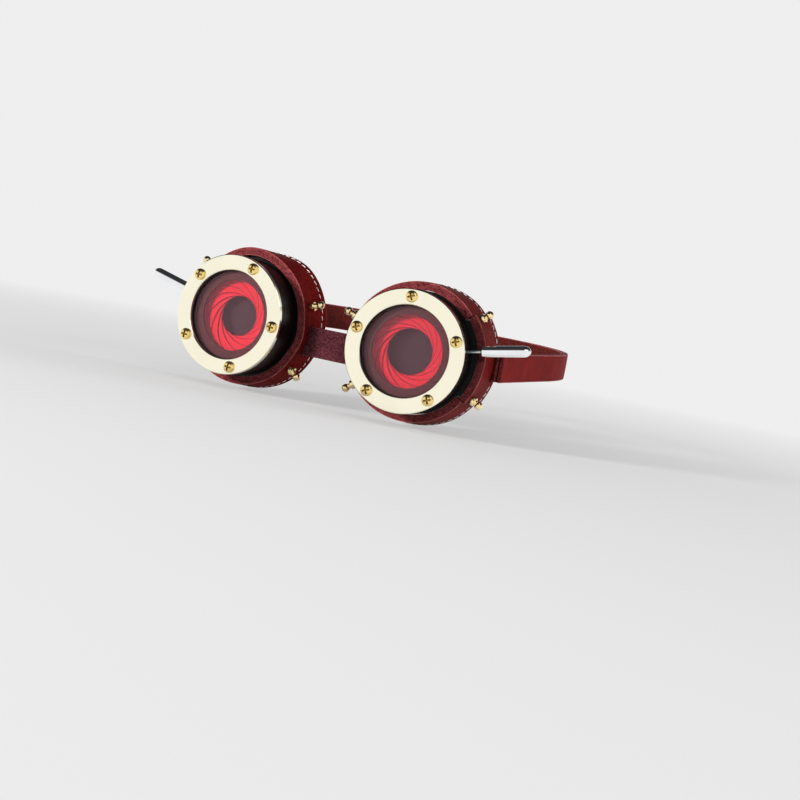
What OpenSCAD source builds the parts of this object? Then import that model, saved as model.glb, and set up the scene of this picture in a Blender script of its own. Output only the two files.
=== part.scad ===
// Steampunk goggles with two working iris diaphragms.
// Origin: midway between the rear rims of the two cups. The goggles face -Y, +X is to the
// viewer's right and +Z is up. Each eye unit is drawn lying on a bench, glass up: x right and
// y up as seen from the front, z = 0 at the bezel's front face, and depth counted along -z.

/* [Stance] */
// Distance between the two lens axes at the bezels
cup_spacing = 96; // [94:0.5:100]
// Outward splay of each cup
splay = 4.5; // [3:0.5:6]
// Depth of a cup on its axis, from bezel face to rear rim
cup_depth = 35; // [34.5:0.5:36]

/* [Bezel and glass] */
// Outer diameter of the brass bezel
bezel_d = 60; // [59:0.5:62]
// Diameter of the window in the bezel
window_d = 44.6; // [44:0.2:45.4]
// Thickness of the bezel
bezel_t = 2; // [1.6:0.1:2.4]
// Radius of the circle that the bezel screws lie on
screw_circle_r = 26.3; // [26.1:0.1:26.4]
// Angle of the first bezel screw, right and left eye
screw_angles = [92.5, 68.2]; // [0:0.1:360]
// Diameter of the lens
lens_d = 47.2; // [46.8:0.1:47.2]
// Thickness of the lens
lens_t = 2.05; // [1.5:0.05:2.05]

/* [Housing] */
// Outer diameter of the black tube
tube_d = 58.4; // [58:0.1:58.8]
// Inner diameter of the tube behind its front rim
bore_d = 55.2; // [55.2:0.1:55.4]
// Depth at which the tube ends
tube_end = 25; // [24.5:0.5:26]

/* [Iris] */
// Number of blades in each iris
blade_count = 12; // [12:1:12]
// Radius of the opening in the front plate
plate_open_r = 17.8; // [17.4:0.1:18.2]
// Aperture radius of each iris at rest, right and left eye
rest_aperture = [11.1, 9.84]; // [6:0.1:16]
// Smallest aperture radius
least_aperture = 2.5; // [2.5:0.1:5]
// Thickness of a blade
blade_t = 0.1; // [0.06:0.01:0.1]
// Depth that a blade gains from its pivot end to its driven end
blade_rise = 3.2; // [3.1:0.05:3.3]
// Turn of a blade for each degree of its drive ring
drive_ratio = 0.496; // [0.494:0.001:0.498]

/* [Lever] */
// Angle of each lever at rest, right and left eye
lever_angles = [11.2, 166.5]; // [0:0.1:360]
// Diameter of the knob
knob_d = 5.5; // [4.5:0.1:5.6]
// Distance of the knob's two ends from the lens axis
knob_span = [34.8, 59]; // [34:0.2:62]
// Diameter of the stem
stem_d = 1.6; // [1.4:0.1:1.7]

/* [Leather] */
// Depth of the leather's front edge
leather_front = 16.8; // [16.6:0.1:17.4]
// Outer radius of the leather at its front edge
leather_r = 34.5; // [34.3:0.1:35]
// Thickness of one layer of leather in the cups
layer_t = 2.05; // [1.8:0.05:2.1]
// How much the leather widens from its front edge to its rear edge
leather_flare = 2.3; // [1.8:0.1:2.8]
// How far the temple tab stands out past the wrap
tab_lift = 1.6; // [1.2:0.1:2]
// Ends of the temple tab, measured from the temple line
tab_ends = [-33, 41]; // [-45:1:45]

/* [Studs] */
// Depth of the ball studs
stud_depth = 22.3; // [21.5:0.1:23]
// Angles of the temple studs from the temple line
temple_studs = [-28.5, 37]; // [-40:0.5:40]
// Angles of the nose studs from the temple line
nose_studs = [161, 217]; // [150:0.5:225]
// Distance of a stud's tip from the lens axis
stud_tip_r = 42.8; // [42:0.1:43.5]

/* [Straps] */
// Width of the head strap
strap_w = 14.2; // [13.5:0.1:15]
// Width of the nose bridge
bridge_w = 15; // [14:0.5:15]
// How far the nose bridge sits below the lens axes
bridge_drop = 5.6; // [0:0.2:6]
// Thickness of one strap layer
strap_t = 1.9; // [1.7:0.1:1.9]
// Half the inside width of the strap loop
loop_half_w = 85.5; // [83:0.5:88]
// How far the loop reaches behind the cups
loop_back = 160; // [150:1:175]
// Upward tilt of the strap towards the back of the head
strap_rise = 2; // [0:0.5:5]

/* [Buckle] */
// Radius of the buckle's wire
wire_r = 1.1; // [1:0.05:1.1]
// Length of the buckle from its bar to its far side
buckle_l = 17; // [16.5:0.5:18]
// Height of the buckle between wire centres
buckle_h = 19; // [18.5:0.5:23]

/* [Hidden] */
$fn = 96;
sides = ["right", "left"];

brass = [0.93, 0.84, 0.58];
black = [0.06, 0.06, 0.07];
iris_red = [0.86, 0.12, 0.22];
steel = [0.8, 0.81, 0.83];
oxblood = [0.45, 0.12, 0.12];
burgundy = [0.3, 0.12, 0.15];

// Eye 0 is the one on the viewer's right, eye 1 the one on the left
function mirror_sign(eye) = eye == 0 ? 1 : -1;
// Turns an angle measured from the temple line into a front-view angle of that eye
function temple_angle(eye, a) = eye == 0 ? a : 180 - a;
front_y = -cup_depth * cos(splay);
bezel_r = bezel_d / 2;
window_r = window_d / 2;
small = 0.01;

// Depths of the pieces in the tube, counted from the bezel's front face
gasket_end = bezel_t + 0.75;
lens_front = gasket_end + 0.05;
lens_seat = lens_front + lens_t + 0.05;
plate_front = 7.7;
plate_t = 1.2;
lip_front = lens_seat + 0.15;
lip_t = 1.1;
plate_well_r = 20.9;
plate_back = plate_front + plate_t;
blade_front = plate_back + 0.15;
ring_front = 12.5;
ring_web_back = ring_front + 1.4;
ring_rim_back = ring_front + 2.4;
lever_depth = ring_front + 1.2;
clip_t = 1;
first_clip = ring_rim_back + 0.2;
rear_lens_front = first_clip + clip_t + 0.15;
rear_lens_t = 1.8;
second_clip = rear_lens_front + rear_lens_t + 0.15;
clip_depths = [first_clip, second_clip];
seat_front = 18.4;
seat_end = tube_end - 0.6;

tube_r = tube_d / 2;
bore_r = bore_d / 2;
lens_r = lens_d / 2;
rim_bore_r = 22.6;
ring_r = bore_r - 0.07;
ring_hole_r = 18.4;
groove_r = bore_r + 0.75;
// The tube's thick end fills the leather; a raised stretch of it carries the temple tab
seat_r = leather_r - 2 * layer_t - 0.1;
tab_seat_r = seat_r + tab_lift;
screw_r = 1.5;
stud_shank_r = 1.4;

// Blade outline when the iris is open: a band round the lens axis, its pivot at angle 0
blade_pivot_r = 22.3;
blade_half_w = 4;
blade_in_r = blade_pivot_r - blade_half_w;
blade_span = 140;
blade_end = 8;
pivot_pin_r = 0.7;
drive_pin_r = 0.6;
blade_step = 360 / blade_count;
blade_sections = 20;
function smooth_step(u) = let (v = min(max(u, 0), 1)) v * v * (3 - 2 * v);
// Depth gained at an angle from the pivot: a steady climb with a steeper middle
function rise_at(a) = blade_rise * (a / (blade_span + 7) + smooth_step((a - 20) / 105)) / 2;
// Half the width of the blade: blunt and round at the pivot, a longer taper at the driven end
function half_width(a) =
    let (over = max(0, (-2 - a) / 7.6, (a - blade_span + 12) / 21))
    blade_half_w * sqrt(1 - pow(over, 2));
// Turn of a blade from wide open to a given aperture radius
function turn_for(aperture) = 2 * asin((blade_in_r - aperture) / (2 * blade_pivot_r));
function ring_turn(eye) = turn_for(rest_aperture[eye]) / drive_ratio;
function closing_left(eye) = turn_for(least_aperture) / drive_ratio - ring_turn(eye);
// Front-view angle of a blade's pivot; the unit is set by where its lever stands when open
function pivot_angle(eye, k) = lever_angles[eye] + ring_turn(eye) + 13 + k * blade_step;
// Centre line, width and reach of the slot that a blade's drive pin runs in
slot_lag = 139.7;
slot_half_w = 1;
slot_reach = [18.9, 23.4];

bridge_t = 2;
bridge_slit_t = 2.8;
bridge_depth = 23.2;
strap_slit_t = 3.4;
strap_slit_depth = 31.4;
leather_rear = cup_depth + 1.5;
rim_tilt = 2;

// Where a plane of one depth stands at a distance from the middle of the goggles
function plane_y(depth, x) = front_y + depth / cos(splay) + (x - cup_spacing / 2) * tan(splay);

// Puts an eye unit from the bench on the face
module on_face(eye)
    translate([mirror_sign(eye) * cup_spacing / 2, front_y, 0])
        rotate([0, 0, mirror_sign(eye) * splay]) rotate([90, 0, 0]) children();

// A ring about the lens axis, between two radii and two depths
module ring(r_in, r_out, d0, d1)
    translate([0, 0, -d1]) difference() {
        cylinder(r = r_out, h = d1 - d0);
        translate([0, 0, -1]) cylinder(r = r_in, h = d1 - d0 + 2);
    }

// A radial rod at a front-view angle and a depth
module radial_rod(a, d, r, from, to)
    rotate([0, 0, a]) translate([from, 0, -d]) rotate([0, 90, 0]) cylinder(r = r, h = to - from, $fn = 48);

// Places children on the five screw positions
module at_screws(eye)
    for (i = [0:4]) rotate([0, 0, screw_angles[eye] + 72 * i]) translate([screw_circle_r, 0, 0]) children();

module bezel(eye) {
    edge = 0.35;
    color(brass) on_face(eye) difference() {
        rotate_extrude() polygon([
            [window_r, -bezel_t], [bezel_r, -bezel_t], [bezel_r, -edge], [bezel_r - edge, 0],
            [window_r + edge, 0], [window_r, -edge]]);
        at_screws(eye) translate([0, 0, -bezel_t - 1])
            cylinder(r = screw_r + 0.15, h = bezel_t + 2, $fn = 36);
    }
}

// Pan head screws with a cross recess
module bezel_screws(eye) {
    head_r = 2.9;
    head_h = 1.8;
    shank_l = 6.6;
    color("goldenrod") on_face(eye) at_screws(eye) difference() {
        union() {
            translate([0, 0, -shank_l]) cylinder(r = screw_r - 0.05, h = shank_l + 0.2, $fn = 36);
            rotate_extrude($fn = 48) polygon(concat(
                [[0, 0.02], [head_r, 0.02], [head_r, 0.7]],
                [for (t = [15:15:75]) [head_r * cos(t) * 0.99, 0.7 + (head_h - 0.7) * sin(t)]],
                [[0, head_h]]));
        }
        for (turn = [20, 110]) rotate([0, 0, turn]) translate([-1.7, -0.35, head_h - 1.05])
            cube([3.4, 0.7, 2]);
    }
}

module lens_gasket(eye)
    color("black") on_face(eye) ring(window_r - 0.3, lens_r, bezel_t, gasket_end);

module lens(eye) {
    edge = 0.25;
    color([0.6, 0.65, 0.7, 0.35]) on_face(eye) rotate_extrude() polygon([
        [0, -lens_front], [lens_r - edge, -lens_front], [lens_r, -lens_front - edge],
        [lens_r, -lens_front - lens_t], [0, -lens_front - lens_t]]);
}

// Black tube: a tapped rim that seats the lens, a thin wall round the iris, a thick end in the leather
module housing(eye) {
    slot_margin = 4;
    tab_from = eye == 0 ? tab_ends[0] : 180 - tab_ends[1];
    pad_span = tab_ends[1] - tab_ends[0] - 0.8;
    color(black) on_face(eye) difference() {
        union() {
            ring(rim_bore_r, tube_r, bezel_t, tube_end);
            ring(bore_r - 1, seat_r, seat_front, seat_end);
            intersection() {
                ring(bore_r - 1, tab_seat_r, seat_front + 0.1, seat_end - 0.1);
                rotate([0, 0, tab_from + 0.4]) translate([0, 0, -seat_end])
                    linear_extrude(height = seat_end) polygon([[0, 0], [40, 0], [40 * cos(pad_span), 40 * sin(pad_span)]]);
            }
        }
        ring(1, lens_r + 0.1, 0, lens_seat);
        ring(1, bore_r, plate_front, tube_end + 1);
        for (d = clip_depths) ring(1, groove_r, d - 0.05, d + clip_t + 0.05);
        at_screws(eye) translate([0, 0, -7]) cylinder(r = screw_r, h = 6, $fn = 36);
        rotate([0, 0, lever_angles[eye] - closing_left(eye) - slot_margin])
            rotate_extrude(angle = ring_turn(eye) + closing_left(eye) + 2 * slot_margin)
                translate([bore_r - 1, -lever_depth - 1.2]) square([4, 2.4]);
        for (a = concat(temple_studs, nose_studs))
            radial_rod(temple_angle(eye, a), stud_depth, stud_shank_r, bore_r - 1, leather_r);
    }
}

// Fixed plate of the iris: a cup whose lip with the opening stands right behind the lens, and
// whose floor has a blind hole for each blade's pivot
module iris_front_plate(eye)
    color(black) on_face(eye) difference() {
        union() {
            ring(plate_open_r, rim_bore_r - 0.1, lip_front, plate_back + 1);
            ring(plate_open_r, bore_r - 0.1, plate_front + 0.05, ring_front - 0.2);
        }
        ring(plate_open_r - 1, plate_well_r, lip_front + lip_t, ring_front);
        ring(plate_open_r - 1, blade_pivot_r + blade_half_w + 0.45, plate_back, ring_front);
        for (k = [1:blade_count]) rotate([0, 0, pivot_angle(eye, k)])
            translate([blade_pivot_r, 0, -plate_back - 1])
                cylinder(r = pivot_pin_r + 0.05, h = plate_t + 1, $fn = 36);
    }

// One blade of the open iris, its pivot on the +x axis and its band running clockwise
module open_blade() {
    angles = concat([-blade_end],
        [for (i = [0:blade_sections - 1]) -5 + i * (blade_span + 10) / (blade_sections - 1)],
        [blade_span + blade_end]);
    count = len(angles);
    points = [for (a = angles) for (corner = [[-1, 0], [1, 0], [1, 1], [-1, 1]])
        let (r = blade_pivot_r + corner[0] * half_width(a))
        [r * cos(-a), r * sin(-a), -blade_front - rise_at(a) - corner[1] * blade_t]];
    walls = [for (i = [0:count - 2]) for (c = [0:3])
        let (p = 4 * i + c, q = 4 * i + (c + 1) % 4)
        each [[p, q, q + 4], [p, q + 4, p + 4]]];
    last = 4 * (count - 1);
    polyhedron(points, concat(walls,
        [[0, 2, 1], [0, 3, 2], [last, last + 1, last + 2], [last, last + 2, last + 3]]));
}

// A blade at rest with its two pins: the pivot pin points forward, the drive pin back
module iris_blade(eye, k)
    color(iris_red) on_face(eye) rotate([0, 0, pivot_angle(eye, k)])
        translate([blade_pivot_r, 0, 0]) rotate([0, 0, -turn_for(rest_aperture[eye])])
            translate([-blade_pivot_r, 0, 0]) {
                open_blade();
                translate([blade_pivot_r, 0, -blade_front - blade_t])
                    cylinder(r = pivot_pin_r, h = blade_front + blade_t - plate_front - 0.15, $fn = 36);
                rotate([0, 0, -blade_span]) translate([blade_pivot_r, 0, -ring_web_back + 0.3])
                    cylinder(r = drive_pin_r,
                        h = ring_web_back - 0.3 - blade_front - rise_at(blade_span), $fn = 36);
            }

// Ring that the lever turns; each slot carries one blade's drive pin
module iris_drive_ring(eye)
    color([0.2, 0.2, 0.22]) on_face(eye) difference() {
        union() {
            ring(ring_hole_r, ring_r, ring_front, ring_web_back);
            ring(24.8, ring_r, ring_front, ring_rim_back);
        }
        for (k = [1:blade_count]) rotate([0, 0, pivot_angle(eye, k) - slot_lag - ring_turn(eye)])
            for (r = [slot_reach[0] + slot_half_w, slot_reach[1] - slot_half_w])
                translate([r, 0, -ring_rim_back - 1]) cylinder(r = slot_half_w, h = 4, $fn = 36);
        for (k = [1:blade_count]) rotate([0, 0, pivot_angle(eye, k) - slot_lag - ring_turn(eye)])
            translate([slot_reach[0] + slot_half_w, -slot_half_w, -ring_rim_back - 1])
                cube([slot_reach[1] - slot_reach[0] - 2 * slot_half_w, 2 * slot_half_w, 4]);
        radial_rod(lever_angles[eye], lever_depth, stem_d / 2 + 0.05, 25, ring_r + 1);
    }

// Two snap rings in the tube's grooves, each open between its two lugs
module snap_rings(eye) {
    gap = 34;
    lug_r = 1.9;
    for (d = clip_depths) color(steel) on_face(eye) rotate([0, 0, temple_angle(eye, 180)]) {
        rotate([0, 0, gap / 2]) rotate_extrude(angle = 360 - gap)
            translate([bore_r - 1.3, -d - clip_t]) square([1.95, clip_t]);
        for (s = [-1, 1]) rotate([0, 0, s * gap / 2]) translate([bore_r - 1.95, 0, -d - clip_t])
            difference() {
                cylinder(r = lug_r, h = clip_t, $fn = 36);
                translate([0, 0, -1]) cylinder(r = 0.7, h = 3, $fn = 24);
            }
    }
}

// Smoked safety lens that keeps the eye off the blades, held between the snap rings
module smoked_lens(eye) {
    edge = 0.25;
    r = bore_r - 0.12;
    back = rear_lens_front + rear_lens_t;
    color([0.16, 0.14, 0.17, 0.9]) on_face(eye) rotate_extrude() polygon([
        [0, -rear_lens_front], [r - edge, -rear_lens_front], [r, -rear_lens_front - edge],
        [r, -back + edge], [r - edge, -back], [0, -back]]);
}

module lever_stem(eye)
    color(steel) on_face(eye)
        radial_rod(lever_angles[eye], lever_depth, stem_d / 2, 25.1, knob_span[0] + 3);

// Turned knob with a chamfered foot and a bullet tip
module lever_knob(eye) {
    r = knob_d / 2;
    l = knob_span[1] - knob_span[0];
    tip = 3.6;
    color(steel) on_face(eye) rotate([0, 0, lever_angles[eye]]) translate([knob_span[0], 0, -lever_depth])
        rotate([0, 90, 0]) difference() {
            rotate_extrude($fn = 64) polygon(concat(
                [[0, 0], [r - 0.7, 0], [r, 0.7], [r, l - tip]],
                [for (t = [15:15:75]) [r * cos(t), l - tip + tip * sin(t)]],
                [[0, l]]));
            translate([0, 0, -1]) cylinder(r = stem_d / 2 + 0.05, h = 4.1, $fn = 48);
        }
}

// Half space behind the rim plane, which reaches further back at the temple than at the nose
module behind_rim(eye)
    rotate([0, mirror_sign(eye) * rim_tilt, 0]) translate([-60, -60, -cup_depth - 60]) cube([120, 120, 60]);

// A leather layer revolved over a stretch of angles: inner radius at the front, thickness
module leather_band(eye, r_in, t, a0, a1) {
    f = -leather_front;
    b = -leather_rear - 2;
    widen = leather_flare * (leather_rear + 2 - leather_front) / (leather_rear - leather_front);
    first = eye == 0 ? a0 : 180 - a1;
    difference() {
        rotate([0, 0, first]) rotate_extrude(angle = a1 - a0)
            polygon([[r_in, f], [r_in + t, f], [r_in + t + widen, b], [r_in + widen, b]]);
        behind_rim(eye);
    }
}

// Slit for a strap through a cup wall, at a front-view angle
module slit(a, d, w, t)
    rotate([0, 0, a]) translate([28, -w / 2 - 0.25, -d - t / 2]) cube([15, w + 0.5, t]);

module stud_holes(eye, angles)
    for (a = angles) radial_rod(temple_angle(eye, a), stud_depth, stud_shank_r, tube_r, leather_r + 6);

module cup_lining(eye)
    color(burgundy) on_face(eye) difference() {
        leather_band(eye, leather_r - 2 * layer_t, layer_t - 0.05, tab_ends[1] + 0.5, 359.5 + tab_ends[0]);
        translate([0, -bridge_drop, 0])
            slit(temple_angle(eye, 180), bridge_depth, bridge_w, bridge_slit_t);
        stud_holes(eye, nose_studs);
    }

module cup_wrap(eye)
    color(oxblood) on_face(eye) difference() {
        leather_band(eye, leather_r - layer_t, layer_t, tab_ends[1] + 0.5, 359.5 + tab_ends[0]);
        translate([0, -bridge_drop, 0])
            slit(temple_angle(eye, 180), bridge_depth, bridge_w, bridge_slit_t);
        stud_holes(eye, nose_studs);
    }

// Doubled section at the temple, held by two studs, with the slit for the head strap
module temple_tab(eye)
    color(oxblood) on_face(eye) difference() {
        leather_band(eye, leather_r + tab_lift - 2 * layer_t, 2 * layer_t, tab_ends[0], tab_ends[1]);
        slit(temple_angle(eye, 0), strap_slit_depth, strap_w, strap_slit_t);
        stud_holes(eye, temple_studs);
    }

// Turned studs: shank, collar on the leather, neck and ball
module ball_studs(eye) {
    ball_r = 2.1;
    collar_r = 2.35;
    collar_lift = 0.34;
    for (a = concat(temple_studs, nose_studs)) {
        seat = leather_r + leather_flare * (stud_depth - leather_front) / (leather_rear - leather_front)
            + (a < 90 ? tab_lift : 0) + collar_lift;
        shoulder = seat + (a < 90 ? 1.3 : 2.2);
        neck_end = stud_tip_r - 2 * ball_r + 0.6;
        color("gold") on_face(eye) rotate([0, 0, temple_angle(eye, a)]) translate([0, 0, -stud_depth])
            rotate([0, 90, 0]) union() {
                translate([0, 0, bore_r + 0.1])
                    cylinder(r = stud_shank_r - 0.05, h = seat - bore_r, $fn = 36);
                rotate_extrude($fn = 48) polygon([
                    [0, seat], [collar_r, seat], [collar_r, shoulder - 0.35], [collar_r - 0.35, shoulder],
                    [1.5, shoulder], [1.3, neck_end], [0, neck_end]]);
                translate([0, 0, stud_tip_r - ball_r]) sphere(r = ball_r, $fn = 48);
            }
    }
}

// Nose bridge: one layer whose ends pass through the slits of both cups
module bridge_strap() {
    reach = cup_spacing / 2 - 1.8 - seat_r - 0.1;
    bow = 0.5;
    y = plane_y(bridge_depth, 13.3) - bridge_t / 2 + 0.4 * bow;
    steps = 12;
    front = [for (i = [0:steps]) let (u = 2 * i / steps - 1) [u * reach, y - bow * (1 - u * u)]];
    back = [for (i = [steps:-1:0]) front[i] + [0, bridge_t]];
    color(burgundy) translate([0, 0, -bridge_drop - bridge_w / 2])
        linear_extrude(height = bridge_w) polygon(concat(front, back));
}

// Plan of the strap loop's inner face on the viewer's right, from the temple to the buckle
strap_x = cup_spacing / 2 + (leather_r + tab_lift + leather_flare) * cos(splay)
    - leather_rear * sin(splay) + 0.2;
// The leaning tongue of the strap is centred in its slit
strap_y = plane_y(strap_slit_depth, strap_x) - 1.08;
bend_y = 80;
flat_half = 30;
function loop_point(t) = [
    flat_half + (loop_half_w - flat_half) * pow(cos(t), 0.8),
    bend_y + (loop_back - bend_y) * pow(sin(t), 0.8)];
function loop_plan(last) = concat(
    [[strap_x, strap_y], [strap_x, strap_y + 6]], [for (t = [0:6:last]) loop_point(t)]);
function normal_at(p, i) =
    let (d = p[min(i + 1, len(p) - 1)] - p[max(i - 1, 0)], n = norm(d)) [d[1], -d[0]] / n;
function shifted(p, out) = [for (i = [0:len(p) - 1]) p[i] + out * normal_at(p, i)];
function reversed(p) = [for (i = [len(p) - 1:-1:0]) p[i]];
// Closed outline of a strap layer between two distances from the loop's inner face
function layer_outline(p, from, to) = concat(shifted(p, from), reversed(shifted(p, to)));

// Stands the strap parts up at the tilt of the loop
module tilted()
    translate([0, strap_y, 0]) rotate([strap_rise, 0, 0]) translate([0, -strap_y, 0]) children();
// A strap-wide extrusion, centred on the loop's mid height
module strap_wide(w) translate([0, 0, -w / 2]) linear_extrude(height = w) children();

// Heights of the layers at the buckle, counted outwards from the loop's inner face
outer_in = strap_t + 0.05;
outer_out = outer_in + strap_t;
bar_y = loop_back + outer_out + 0.2 + wire_r;
bar_x = -6;
fold_in = wire_r + 0.2;
fold_out = fold_in + strap_t;
return_in = outer_out + 0.05;
return_out = return_in + strap_t;
tail_in = return_out + 0.1;
tail_out = tail_in + strap_t;

// Inner layer of the head strap, whose end turns through the slit into the cup
module strap_lining(eye) {
    tongue = 6;
    color(burgundy) mirror([eye, 0, 0]) tilted() strap_wide(strap_w) {
        polygon(layer_outline(loop_plan(78), 0, strap_t));
        translate([strap_x - tongue, strap_y]) square([tongue + 1, strap_t]);
    }
}

// Outer layer on the viewer's right, which runs through the buckle as its tail
module strap_right() {
    y = loop_back;
    tail_tip = -39;
    over = fold_out + 0.15;
    holes = [18, 27, -29];
    color(oxblood) tilted() difference() {
        strap_wide(strap_w) {
            polygon(layer_outline(loop_plan(90), outer_in, outer_out));
            polygon([
                [flat_half + small, y + outer_in], [8, y + outer_in],
                [bar_x + 2.5, bar_y + over], [bar_x - 1, bar_y + over], [bar_x - 8, y + tail_in],
                [tail_tip, y + tail_in], [tail_tip, y + tail_out], [bar_x - 7.6, y + tail_out],
                [bar_x - 0.6, bar_y + over + strap_t], [bar_x + 3, bar_y + over + strap_t],
                [8.4, y + outer_out], [flat_half + small, y + outer_out]]);
        }
        for (x = holes) translate([x, y - 2, 0]) rotate([-90, 0, 0]) cylinder(r = 1.25, h = 15, $fn = 36);
        translate([bar_x + 2.4, y + outer_out + 0.8, -1.6]) cube([8.8, 20, 3.2]);
        // Rounded tail end
        difference() {
            translate([tail_tip - 1, y, -strap_w]) cube([strap_w / 2 + 1, 15, 2 * strap_w]);
            translate([tail_tip + strap_w / 2, y - 1, 0]) rotate([-90, 0, 0])
                cylinder(r = strap_w / 2, h = 17);
        }
    }
}

// Outer layer on the viewer's left, folded round the buckle's bar
module strap_left() {
    y = loop_back;
    color(oxblood) tilted() difference() {
        strap_wide(strap_w) {
            mirror([1, 0]) polygon(layer_outline(loop_plan(90), outer_in, outer_out));
            translate([-flat_half - small, y + outer_in]) square([flat_half + small + bar_x, strap_t]);
            translate([bar_x, bar_y]) difference() {
                circle(r = fold_out);
                circle(r = fold_in);
                translate([-10, -10]) square([10, 20]);
            }
            polygon([
                [bar_x, bar_y + fold_in], [bar_x, bar_y + fold_out], [bar_x - 6.5, y + return_out],
                [bar_x - 17, y + return_out], [bar_x - 17, y + return_in], [bar_x - 5.5, y + return_in]]);
        }
        translate([bar_x - 5, y + outer_in - 1, -1.7]) cube([10, 12, 3.4]);
    }
}

// Rectangular wire buckle with round corners; the bar carries the prong
module buckle_frame() {
    bend = 3;
    far = bar_x + buckle_l;
    top = buckle_h / 2;
    color("gold") tilted() translate([0, bar_y, 0]) {
        for (x = [bar_x, far]) translate([x, 0, -top + bend])
            cylinder(r = wire_r, h = 2 * (top - bend), $fn = 48);
        for (z = [-top, top]) translate([bar_x + bend, 0, z]) rotate([0, 90, 0])
            cylinder(r = wire_r, h = buckle_l - 2 * bend, $fn = 48);
        for (x = [0, 1]) for (z = [0, 1])
            translate([x ? far - bend : bar_x + bend, 0, z ? top - bend : -top + bend]) rotate([90, 0, 0])
                rotate([0, 0, x ? (z ? 0 : -90) : (z ? 90 : 180)]) rotate_extrude(angle = 90)
                    translate([bend, 0]) circle(r = wire_r, $fn = 48);
    }
}

// Prong: an eye round the bar and a finger that rests on the far side of the frame
module buckle_prong() {
    eye_r = wire_r + 1;
    finger_y = bar_y + wire_r + 0.05;
    color("gold") tilted() translate([0, 0, -1.2]) linear_extrude(height = 2.4) difference() {
        union() {
            translate([bar_x, bar_y]) circle(r = eye_r, $fn = 48);
            polygon([
                [bar_x, bar_y + 0.9], [bar_x + 1.4, bar_y - 0.6], [bar_x + 4, finger_y],
                [bar_x + buckle_l + 1, finger_y], [bar_x + buckle_l + 1.4, finger_y + 0.7],
                [bar_x + buckle_l, finger_y + 1.5], [bar_x + 3, finger_y + 1.5], [bar_x, bar_y + eye_r]]);
        }
        translate([bar_x, bar_y]) circle(r = wire_r + 0.05, $fn = 48);
    }
}

// Leather loop that holds the tail down
module strap_keeper() {
    x = bar_x - 14;
    w = 7;
    wall = 1.3;
    room = 0.2;
    low = loop_back + outer_in - room;
    high = loop_back + tail_out + room;
    color(burgundy) tilted() translate([x - w / 2, 0, 0]) difference() {
        translate([0, low - wall, -strap_w / 2 - room - wall])
            cube([w, high - low + 2 * wall, strap_w + 2 * room + 2 * wall]);
        translate([-1, low, -strap_w / 2 - room]) cube([w + 2, high - low, strap_w + 2 * room]);
    }
}

bridge_strap();
for (eye = [0, 1]) bezel_screws(eye);
for (eye = [0, 1]) lens_gasket(eye);  // lens_gaskets
for (eye = [0, 1]) {
    s = sides[eye];
    bezel(eye);
    lens(eye);
    housing(eye);
    iris_front_plate(eye);
    iris_drive_ring(eye);
    snap_rings(eye);
    smoked_lens(eye);
    lever_stem(eye);
    lever_knob(eye);
    cup_lining(eye);
    cup_wrap(eye);
    temple_tab(eye);
    ball_studs(eye);
    strap_lining(eye);
    for (k = [1:blade_count])
        iris_blade(eye, k);
}
strap_right();
strap_left();
buckle_frame();
buckle_prong();
strap_keeper();
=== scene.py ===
"""Looks of the steampunk goggles: leather, stitching, blades, metals, glass, light and camera."""

import math

import bmesh
import bpy
from mathutils import Matrix, Vector, noise


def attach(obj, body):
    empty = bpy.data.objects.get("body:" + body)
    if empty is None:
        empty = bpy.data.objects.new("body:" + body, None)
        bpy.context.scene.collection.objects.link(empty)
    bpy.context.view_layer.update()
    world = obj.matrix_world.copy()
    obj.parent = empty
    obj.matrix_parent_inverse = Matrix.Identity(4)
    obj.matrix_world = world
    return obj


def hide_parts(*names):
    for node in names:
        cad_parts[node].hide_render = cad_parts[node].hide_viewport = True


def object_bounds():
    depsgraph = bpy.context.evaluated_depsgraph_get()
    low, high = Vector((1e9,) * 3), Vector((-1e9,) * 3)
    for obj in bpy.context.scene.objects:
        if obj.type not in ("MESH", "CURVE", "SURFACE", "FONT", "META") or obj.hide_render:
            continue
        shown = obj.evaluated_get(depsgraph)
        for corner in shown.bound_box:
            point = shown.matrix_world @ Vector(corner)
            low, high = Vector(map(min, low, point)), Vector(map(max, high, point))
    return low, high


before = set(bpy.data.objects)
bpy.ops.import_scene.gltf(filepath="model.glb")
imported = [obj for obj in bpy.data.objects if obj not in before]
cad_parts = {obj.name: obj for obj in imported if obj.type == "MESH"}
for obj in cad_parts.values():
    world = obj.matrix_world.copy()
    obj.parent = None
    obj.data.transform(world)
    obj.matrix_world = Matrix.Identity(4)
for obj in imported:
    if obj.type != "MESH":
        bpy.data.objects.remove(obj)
cad_box = [list(map(float, corner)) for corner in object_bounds()]

MM = 0.001
SIDES = (("right", 1), ("left", -1))


def sin(a):
    return math.sin(math.radians(a))


def cos(a):
    return math.cos(math.radians(a))


def smooth(u):
    u = min(max(u, 0.0), 1.0)
    return u * u * (3 - 2 * u)


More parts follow.
